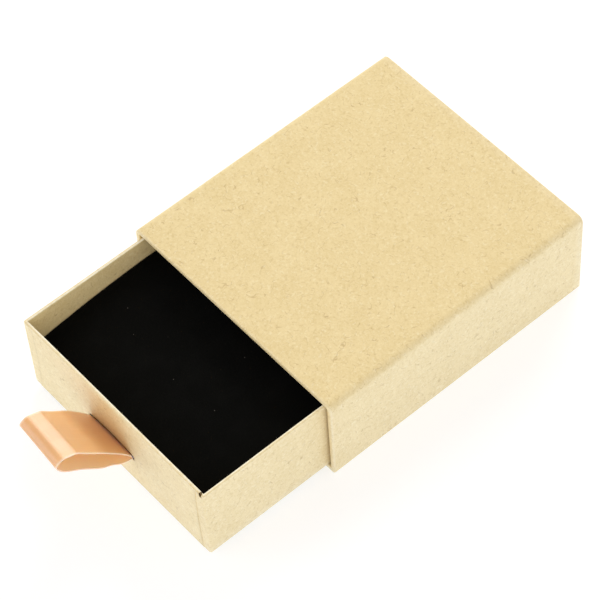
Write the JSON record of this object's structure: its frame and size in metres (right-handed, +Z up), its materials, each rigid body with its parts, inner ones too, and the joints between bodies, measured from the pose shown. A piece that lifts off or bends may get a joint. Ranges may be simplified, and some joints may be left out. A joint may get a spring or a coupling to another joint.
{
  "type": "drawer gift box",
  "caption": "Slide-out gift box: a paper-wrapped board sleeve closed at the back, a shallow tray with a dark padded insert, and a satin ribbon loop to pull it by.",
  "frame": {"origin": "middle of the sleeve's underside, on the surface the box stands on", "axes": "+X across the box, +Y from the open mouth to the closed back, +Z up; the tray slides out towards -Y"},
  "size_m": [0.09, 0.1726, 0.0373],
  "materials": {
    "greyboard": "matte",
    "kraft_paper": "matte",
    "foam": "matte",
    "flock": "matte",
    "satin_ribbon": "satin"
  },
  "bodies": {
    "sleeve": {"sleeve_bent_board": "greyboard", "sleeve_floor_board": "greyboard", "sleeve_back_board": "greyboard", "sleeve_wrap": "kraft_paper", "sleeve_base_sheet": "kraft_paper", "sleeve_back_paper": "kraft_paper"},
    "drawer": {"tray_base_board": "greyboard", "tray_left_wall": "greyboard", "tray_right_wall": "greyboard", "tray_front_wall": "greyboard", "tray_back_wall": "greyboard", "tray_wrap": "kraft_paper", "tray_front_paper": "kraft_paper", "tray_back_paper": "kraft_paper", "insert_foam": "foam", "insert_flock_sheet": "flock", "ribbon_tails": "satin_ribbon", "ribbon_patch": "kraft_paper"},
    "ribbon": {"ribbon_loop": "satin_ribbon"}
  },
  "joints": [
    {"name": "drawer_slide", "type": "slide", "parent": "sleeve", "child": "drawer", "axis": [0, -1, 0], "range_m": [-0.0457, 0.0573]},
    {"name": "ribbon_flex", "type": "hinge", "parent": "drawer", "child": "ribbon", "pos_m": [-0.0025, -0.0971, 0.0149], "axis": [1, 0, 0], "range_deg": [-35, 64], "stiffness_Nm_per_rad": 0.002}
  ]
}
